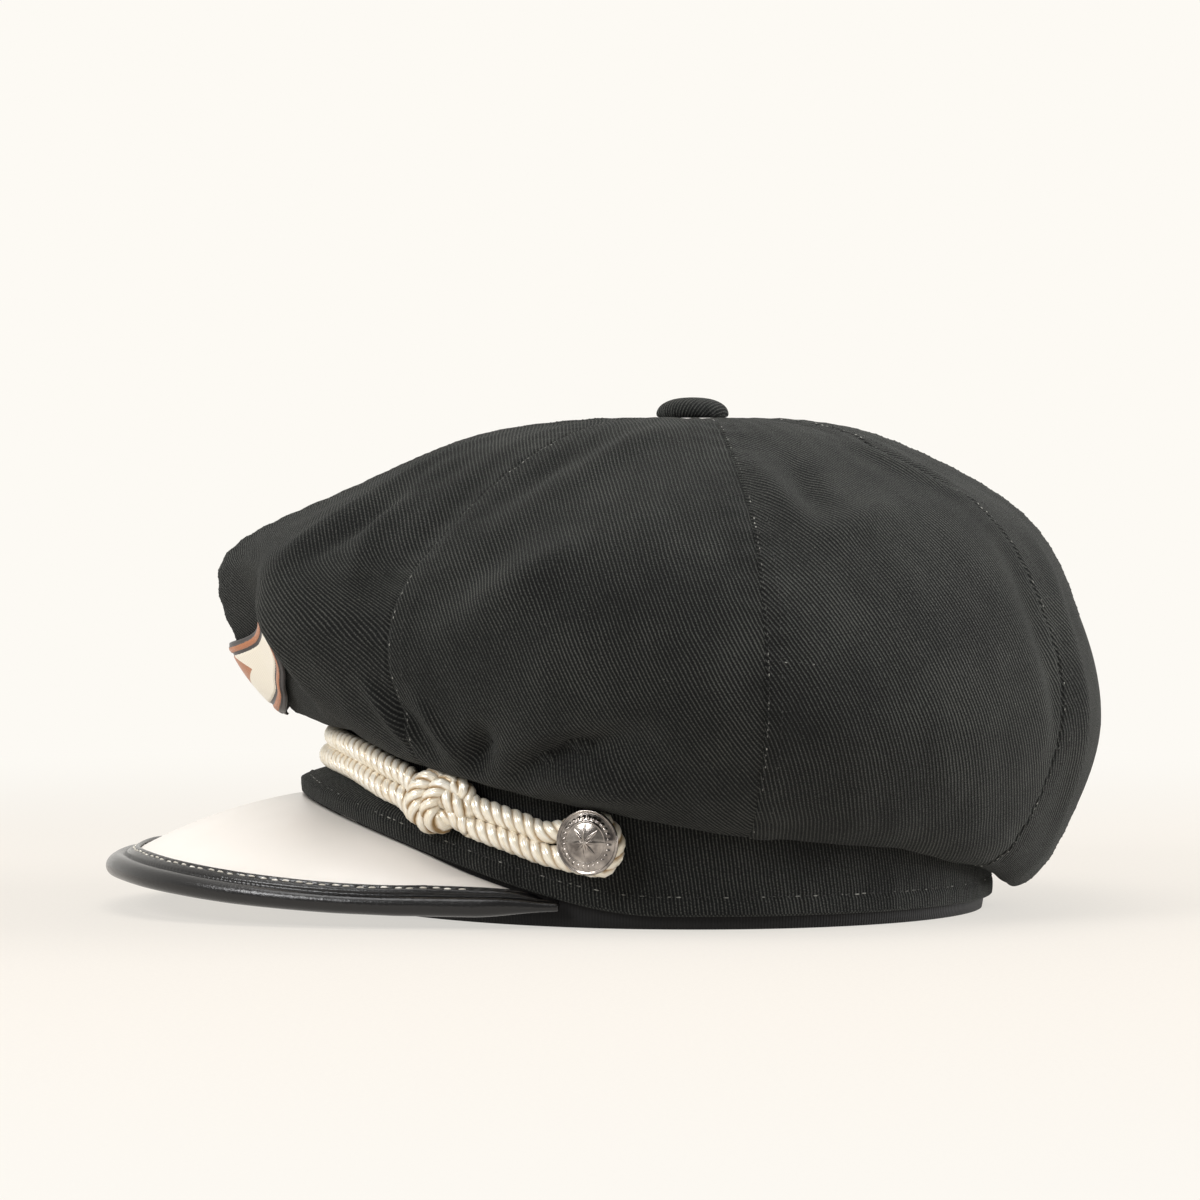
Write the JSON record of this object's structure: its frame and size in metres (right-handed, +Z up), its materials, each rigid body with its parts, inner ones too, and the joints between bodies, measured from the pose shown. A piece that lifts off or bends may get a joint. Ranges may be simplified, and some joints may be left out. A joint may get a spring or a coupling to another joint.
{
  "type": "motorcycle cap",
  "caption": "Black twill motorcycle cap with a white visor in a dark bound edge, knotted ivory cords, metal side buttons and a small front patch.",
  "frame": {"origin": "centre of the bottom face of the bounding box, on the surface that the cap rests on", "axes": "+Z up, -Y towards the visor's tip, +Y towards the back of the head, +X to the wearer's left"},
  "size_m": [0.2276, 0.2918, 0.1487],
  "materials": {
    "twill": "matte black cotton twill",
    "lining": "matte black tape",
    "visor_plate": "smooth ivory white with a soft sheen",
    "bound_edge": "black grained leather with stitches",
    "cord": "ivory twisted rayon cord with a soft lustre",
    "button_metal": "dark polished gunmetal",
    "patch_felt": "cream cloth with a copper-coloured satin border"
  },
  "bodies": {
    "root": {"crown": "twill", "top_button": "twill", "band": "twill", "sweatband": "lining", "visor": "visor_plate", "visor_binding": "bound_edge", "cord_front_upper": "cord", "cord_front_lower": "cord", "cord_knot_left": "cord", "cord_knot_right": "cord", "cord_loop_left": "cord", "cord_loop_right": "cord", "side_button_left": "button_metal", "side_button_right": "button_metal", "patch": "patch_felt"}
  },
  "joints": []
}
